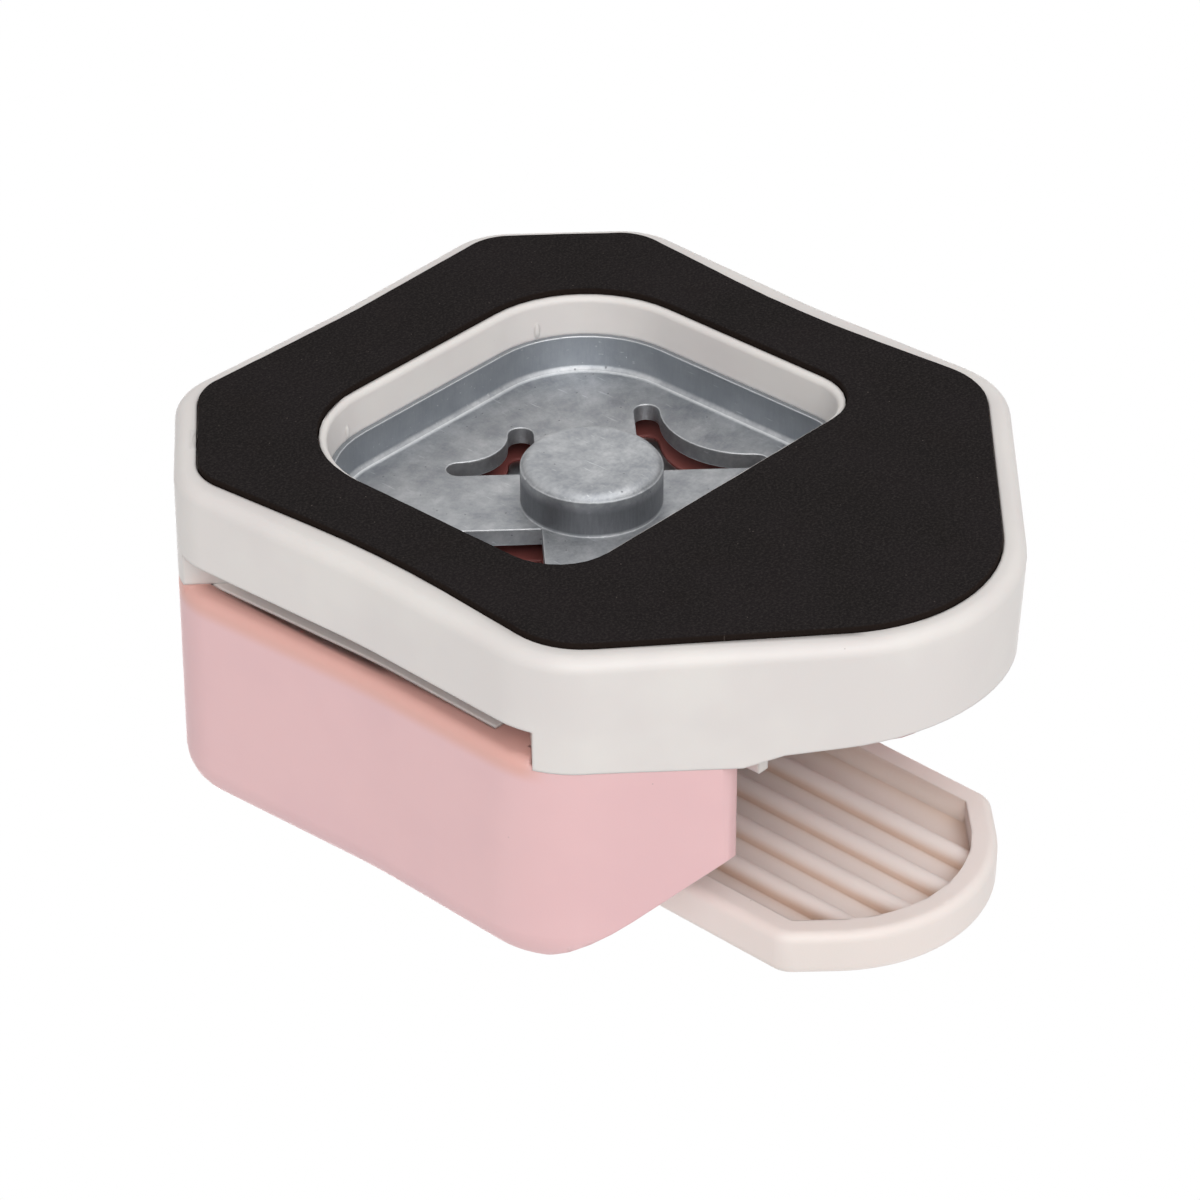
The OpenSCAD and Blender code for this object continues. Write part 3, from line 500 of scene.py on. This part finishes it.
def edge_loops(node, height):
    """Corner points of the outlines of a CAD node's flat face at this height, longest outline first."""
    bm = merged_copy(node)
    level = 1e-6
    rim = {
        e
        for e in bm.edges
        if all(abs(v.co.z - height) < level for v in e.verts)
        and any(abs(f.normal.z) < 0.5 for f in e.link_faces)
    }
    loops = []
    while rim:
        edge = rim.pop()
        start, at = edge.verts
        loop = [start.co.copy(), at.co.copy()]
        while at is not start:
            edge = next(e for e in at.link_edges if e in rim)
            rim.remove(edge)
            at = edge.other_vert(at)
            loop.append(at.co.copy())
        loops.append(loop[:-1])
    bm.free()

    def girth(loop):
        return sum((a - b).length for a, b in zip(loop, loop[1:] + loop[:1]))

    return sorted(loops, key=girth, reverse=True)


def polar(loop, centre, angles):
    """Distance from the centre to an outline, in each direction."""
    found = []
    for angle in angles:
        ahead = Vector((math.cos(angle), math.sin(angle)))
        side = Vector((-ahead.y, ahead.x))
        best = 0.0
        for a, b in zip(loop, loop[1:] + loop[:1]):
            u, v = a.xy - centre, b.xy - centre
            s, t = u @ side, v @ side
            if s * t <= 0 and s != t:
                best = max(best, (u + (v - u) * (s / (s - t))) @ ahead)
        found.append(best)
    return found


def unevenness(spot, size, layer=0.0):
    """Smooth value between 0 and 1 that changes over this length."""
    return noise.noise(Vector((spot.x / size, spot.y / size, layer))) * 0.5 + 0.5


def foam_pad():
    """The foam sheet: die-cut edges that are a little soft and uneven, and a faintly wavy face."""
    low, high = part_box("foam_pad")
    outer, inner = edge_loops("foam_pad", low.z)[:2]
    centre = sum((p.xy for p in inner), Vector((0, 0))) / len(inner)
    count, steps, spans = 1080, 4, 16
    edge, ragged, wave = 0.14 * MM, 0.05 * MM, 0.05 * MM
    tear, swell = 1.4 * MM, 3.5 * MM
    angles = [2 * math.pi * k / count for k in range(count)]
    thick = high.z - low.z
    quarter = [math.pi / 2 * k / steps for k in range(steps, -1, -1)]
    round_off = [(edge * (1 - math.sin(a)), edge * (1 - math.cos(a))) for a in quarter]
    bm = bmesh.new()
    rings = []
    for angle, wide, slim in zip(angles, polar(outer, centre, angles), polar(inner, centre, angles)):
        ahead = Vector((math.cos(angle), math.sin(angle)))
        wide -= ragged * unevenness(centre + ahead * wide, tear, layer=3.0)
        slim += ragged * unevenness(centre + ahead * slim, tear, layer=7.0)
        section = [(wide, thick)] + [(wide - a, b) for a, b in round_off]
        section += [(wide - edge + (slim - wide + 2 * edge) * k / spans, 0.0) for k in range(1, spans)]
        section += [(slim + a, b) for a, b in reversed(round_off)] + [(slim, thick)]
        ring = []
        for reach, rise in section:
            spot = centre + ahead * reach
            lift = wave * unevenness(spot, swell) * (1 - rise / thick)
            ring.append(bm.verts.new((spot.x, spot.y, low.z + rise + lift)))
        rings.append(ring)
    for ring, following in zip(rings, rings[1:] + rings[:1]):
        for k in range(len(ring)):
            after = (k + 1) % len(ring)
            bm.faces.new((ring[k], ring[after], following[after], following[k]))
    bmesh.ops.recalc_face_normals(bm, faces=bm.faces)
    mesh = bpy.data.meshes.new("foam_sheet")
    bm.to_mesh(mesh)
    bm.free()
    smooth(mesh, 50)
    return add_piece("foam_sheet", mesh, FOAM, "body", "black_foam", "foam_pad")


pad = foam_pad()


class Growth:
    """A Geometry Nodes tree in the making, with named inputs."""

    def __init__(self, name, **sizes):
        self.tree = bpy.data.node_groups.new(name, "GeometryNodeTree")
        face = self.tree.interface
        face.new_socket("Geometry", in_out="INPUT", socket_type="NodeSocketGeometry")
        face.new_socket("Geometry", in_out="OUTPUT", socket_type="NodeSocketGeometry")
        self.sizes = sizes
        for key in sizes:
            face.new_socket(key, in_out="INPUT", socket_type="NodeSocketFloat")
        self.start = Wire(self.tree)
        self.given = self.start.node("NodeGroupInput")

    def size(self, key):
        """One of the tree's named inputs."""
        return self.given.out(key)

    def finish(self, shape, material):
        """Ends the tree in Realize Instances and Set Material."""
        shape = self.start.node("GeometryNodeRealizeInstances", inputs={"Geometry": shape})
        shape = self.start.node("GeometryNodeSetMaterial", inputs={"Geometry": shape, "Material": material})
        self.start.node("NodeGroupOutput", inputs={"Geometry": shape})

    def grow(self, name, points=((0, 0, 0),)):
        """Plain mesh that the tree makes on these points."""
        mesh = bpy.data.meshes.new(name + "_points")
        mesh.from_pydata([tuple(p) for p in points], [], [])
        host = put(name, mesh)
        modifier = host.modifiers.new("growth", "NODES")
        modifier.node_group = self.tree
        for item in self.tree.interface.items_tree:
            if item.in_out == "INPUT" and item.name in self.sizes:
                modifier[item.identifier] = float(self.sizes[item.name])
        made = plain_mesh(host)
        bm = bmesh.new()
        bm.from_mesh(made)
        bmesh.ops.remove_doubles(bm, verts=bm.verts, dist=1e-7)
        bmesh.ops.recalc_face_normals(bm, faces=bm.faces)
        bm.to_mesh(made)
        bm.free()
        smooth(made, 40)
        return made


def islands(node):
    """Lowest and highest corner of each separate solid of a CAD node."""
    bm = merged_copy(node)
    left, found = set(bm.verts), []
    while left:
        patch, edge = set(), {left.pop()}
        while edge:
            vert = edge.pop()
            patch.add(vert)
            edge |= {e.other_vert(vert) for e in vert.link_edges} - patch
        left -= patch
        found.append([Vector(pick(v.co[k] for v in patch) for k in range(3)) for pick in (min, max)])
    bm.free()
    return sorted(found, key=lambda box: tuple(box[0]))


def screw_set(node, name, body, shank, head_height, head_up):
    """Cross-headed screws with a rolled thread, one at each place where the CAD has a screw."""
    boxes = islands(node)
    low, high = boxes[0]
    length = high.z - low.z - head_height
    g = Growth(
        name + "_growth",
        Head_Radius=(high.x - low.x) / 2,
        Head_Height=head_height,
        Shank_Radius=shank / 2,
        Shank_Length=length,
        Pitch=0.6 * MM,
        Turned=math.pi if head_up else 0.0,
    )
    w = g.start
    xyz = "ShaderNodeCombineXYZ"
    head_radius, head = g.size("Head_Radius"), g.size("Head_Height")
    core, reach, pitch = g.size("Shank_Radius"), g.size("Shank_Length"), g.size("Pitch")
    sides = 28

    def moved(shape, z):
        """The shape, raised by z."""
        shift = w.node(xyz, inputs={"Z": z})
        return w.node("GeometryNodeTransform", inputs={"Geometry": shape, "Translation": shift})

    def disc(radius, depth, top):
        """Cylinder between z = top - depth and top."""
        shape = w.node(
            "GeometryNodeMeshCylinder", inputs={"Vertices": sides, "Radius": radius, "Depth": depth}
        )
        return moved(shape, top - depth * 0.5)

    # The head lies between z = 0 and its height, the shank follows upwards
    rim = head * 0.35
    edge = w.node(
        "GeometryNodeMeshCone",
        inputs={
            "Vertices": sides,
            "Radius Top": head_radius,
            "Radius Bottom": head_radius * 0.86,
            "Depth": rim,
        },
    )
    body_disc = disc(head_radius, head - rim, head)
    slot_size = w.node(xyz, inputs={"X": head_radius * 1.15, "Y": head_radius * 0.26, "Z": head * 1.1})
    slots = []
    for turn in (0.0, math.pi / 2):
        slot = w.node("GeometryNodeMeshCube", inputs={"Size": slot_size})
        slots.append(w.node("GeometryNodeTransform", inputs={"Geometry": slot, "Rotation": (0, 0, turn)}))
    solid = w.node("GeometryNodeMeshBoolean", {"operation": "UNION"}, {"Mesh 2": edge})
    w.tree.links.new(body_disc.socket, solid.socket.node.inputs["Mesh 2"])
    cut = w.node(
        "GeometryNodeMeshBoolean", {"operation": "DIFFERENCE"}, {"Mesh 1": solid, "Mesh 2": slots[0]}
    )
    w.tree.links.new(slots[1].socket, cut.socket.node.inputs["Mesh 2"])
    root, threaded = core * 0.86, reach * 0.8
    shaft = disc(root, reach, head + reach)
    # Thread: a ridge that winds round the shaft
    coil = w.node(
        "GeometryNodeCurveSpiral",
        inputs={
            "Resolution": 16,
            "Rotations": threaded / pitch,
            "Start Radius": root,
            "End Radius": root,
            "Height": threaded,
        },
    )
    ridge = w.node(
        "GeometryNodeCurvePrimitiveCircle", {"mode": "RADIUS"}, {"Resolution": 4, "Radius": core * 0.13}
    )
    thread = w.node(
        "GeometryNodeCurveToMesh", inputs={"Curve": coil, "Profile Curve": ridge, "Fill Caps": True}
    )
    thread = moved(thread, head + reach * 0.15)
    whole = w.node("GeometryNodeJoinGeometry", inputs={"Geometry": cut})
    for part in (shaft, thread):
        w.tree.links.new(part.socket, whole.socket.node.inputs["Geometry"])
    tilt = w.node(xyz, inputs={"X": g.size("Turned")})
    placed = w.node(
        "GeometryNodeInstanceOnPoints",
        inputs={"Points": g.given, "Instance": whole, "Rotation": tilt},
    )
    g.finish(placed, SCREW_STEEL)
    spots = [((a.x + b.x) / 2, (a.y + b.y) / 2, b.z if head_up else a.z) for a, b in boxes]
    add_piece(name, g.grow(name, spots), SCREW_STEEL, body, "screw_steel", node)


CASE_SHANK, SMALL_SHANK, SCREW_HEAD = 2.4 * MM, 1.8 * MM, 1.2 * MM
screw_set("case_screws", "casing_screws", "body", CASE_SHANK, SCREW_HEAD, head_up=False)
screw_set("guide_screws", "plate_screws", "body", SMALL_SHANK, SCREW_HEAD, head_up=False)
screw_set("die_screws", "lug_screws", "body", SMALL_SHANK, SCREW_HEAD, head_up=True)
screw_set("cutter_screws", "blade_screws", "punch", SMALL_SHANK, SCREW_HEAD, head_up=True)


def coil_spring():
    """The return spring: round wire, eight turns, the first and last of them flat."""
    low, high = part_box("return_spring")
    wire, coils, gap = 0.4 * MM, 8, 0.5 * MM
    flat = 2 * wire + gap
    rise = high.z - low.z - 2 * wire
    g = Growth(
        "spring_growth",
        Wire_Radius=wire,
        Coil_Radius=(high.y - low.y) / 2 - wire,
        Coils=coils,
        Flat_Pitch=flat,
        Open_Pitch=(rise - 2 * flat) / (coils - 2),
    )
    w = g.start
    line = w.node(
        "GeometryNodeCurveSpiral",
        inputs={
            "Resolution": 32,
            "Rotations": g.size("Coils"),
            "Start Radius": g.size("Coil_Radius"),
            "End Radius": g.size("Coil_Radius"),
            "Height": 1.0,
        },
    )
    turn = w.node("GeometryNodeSplineParameter") * g.size("Coils")
    ends, middle = g.size("Flat_Pitch"), g.size("Open_Pitch")
    last = g.size("Coils") - 1
    opened = turn.most(1.0).least(last) - 1
    height = ends * turn.least(1.0) + middle * opened + ends * (turn - last).most(0.0)
    spot = w.node("ShaderNodeSeparateXYZ", inputs={"Vector": w.node("GeometryNodeInputPosition")})
    spot = w.node("ShaderNodeCombineXYZ", inputs={"X": spot, "Y": spot.out("Y"), "Z": height})
    line = w.node("GeometryNodeSetPosition", inputs={"Geometry": line, "Position": spot})
    round_wire = w.node(
        "GeometryNodeCurvePrimitiveCircle",
        {"mode": "RADIUS"},
        {"Resolution": 12, "Radius": g.size("Wire_Radius")},
    )
    tube = w.node(
        "GeometryNodeCurveToMesh", inputs={"Curve": line, "Profile Curve": round_wire, "Fill Caps": True}
    )
    placed = w.node("GeometryNodeInstanceOnPoints", inputs={"Points": g.given, "Instance": tube})
    g.finish(placed, SPRING_STEEL)
    foot = Vector(((low.x + high.x) / 2, (low.y + high.y) / 2, low.z + wire))
    mesh = g.grow("coil_spring", [foot])
    spring = add_piece("coil_spring", mesh, SPRING_STEEL, "body", "spring_steel", "return_spring")
    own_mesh(spring)


coil_spring()

for node, material in {
    "hinge_pin": GROUND_STEEL,
    "hinge_clips": SCREW_STEEL,
    "cutter_rear": CUTTER_STEEL,
    "cutter_left": CUTTER_STEEL,
    "cutter_right": CUTTER_STEEL,
    "guide_pins": GROUND_STEEL,
    "spring_washer": SCREW_STEEL,
    "press_disc": GROUND_STEEL,
}.items():
    slots = frame["nodes"][node].data.materials
    slots.clear()
    slots.append(material)


# Strength of the even light, where the white surround is 1
AMBIENT = 0.53


def camera():
    """The photograph's view: the punch lies on its back, so the camera is below it and upside down."""
    azimuth, elevation = math.radians(48.18), math.radians(32.78)
    distance = 402.1 * MM
    lens, sensor = 160.2, 36.0
    level = math.cos(elevation)
    ahead = Vector((-math.sin(azimuth) * level, math.cos(azimuth) * level, math.sin(elevation)))
    right = ahead.cross(Vector((0, 0, -1))).normalized()
    up = right.cross(ahead)
    aim = Vector((0, 4.4 * MM, 0)) + right * 0.18 * MM - up * 13.14 * MM
    data = bpy.data.cameras.new("camera")
    data.lens, data.sensor_width = lens, sensor
    data.clip_start, data.clip_end = 10 * MM, 20.0
    cam = put("camera", data)
    turn = Matrix((right, up, -ahead)).transposed().to_4x4()
    cam.matrix_world = Matrix.Translation(aim - ahead * distance) @ turn
    bpy.context.scene.camera = cam


def floor():
    """Pale floor that shows from above, fades out far away and lets camera and light through from below."""
    bm = bmesh.new()
    bmesh.ops.create_grid(bm, x_segments=1, y_segments=1, size=3.0)
    mesh = bpy.data.meshes.new("floor")
    bm.to_mesh(mesh)
    bm.free()
    plane = put("floor", mesh)
    f = Finish("pale_floor")
    cloud = f.noise(0.05, 3).over(0.3, 0.7)
    shine = f.feed(Base_Color=cloud.tint(colour(246, 246, 245), colour(243, 243, 242)), Roughness=0.7)
    path = f.start.node("ShaderNodeLightPath")
    back = f.start.node("ShaderNodeNewGeometry").out("Backfacing")
    clear = f.start.node("ShaderNodeBsdfTransparent")
    solid = Wire(f.tree, f.shader.outputs["BSDF"])
    x, y, _ = f.axes()
    whole, gone = 0.1, 0.32
    near = 1 - (x * x + y * y).over(whole**2, gone**2)
    mix = f.start.node("ShaderNodeMixShader", inputs={0: path * (1 - back) * near, 1: clear, 2: solid})
    f.tree.links.new(mix.socket, f.tree.nodes["Material Output"].inputs["Surface"])
    mesh.materials.append(shine)


def world():
    """White behind the object and in its reflections, an even light elsewhere."""
    made = bpy.data.worlds.new("studio")
    made.use_nodes = True
    bpy.context.scene.world = made
    w = Wire(made.node_tree)
    path = w.node("ShaderNodeLightPath")
    seen = path.most(path.out("Is Glossy Ray")).most(path.out("Is Transmission Ray"))
    back = made.node_tree.nodes["Background"]
    back.inputs["Color"].default_value = (1.0, 1.0, 1.0, 1.0)
    strength = AMBIENT + seen * (1 - AMBIENT)
    made.node_tree.links.new(strength.socket, back.inputs["Strength"])


def lamp(name, place, target, size, power):
    """Soft square lamp."""
    data = bpy.data.lights.new(name, "AREA")
    data.shape = "SQUARE"
    data.size = size
    data.energy = power
    made = put(name, data)
    made.location = place
    made.rotation_mode = "QUATERNION"
    made.rotation_quaternion = (Vector(target) - Vector(place)).to_track_quat("-Z", "Y")
    made.visible_camera = False


camera()
floor()
world()
lamp("key_light", (0.44, -0.40, -0.38), (0, 0, 0.01), size=0.50, power=2.15)
lamp("under_light", (0.04, -0.40, -0.50), (0, 0, 0.01), size=0.45, power=1.2)
lamp("upper_light", (-0.15, -0.25, 0.65), (0, 0, 0), size=0.50, power=1.1)
lamp("upper_side_light", (0.50, 0.25, 0.35), (0, 0, 0.01), size=0.40, power=0.45)
lamp("back_light", (-0.45, 0.45, 0.35), (0, 0, 0.01), size=0.50, power=2.0)

bpy.context.scene.view_settings.view_transform = "Standard"
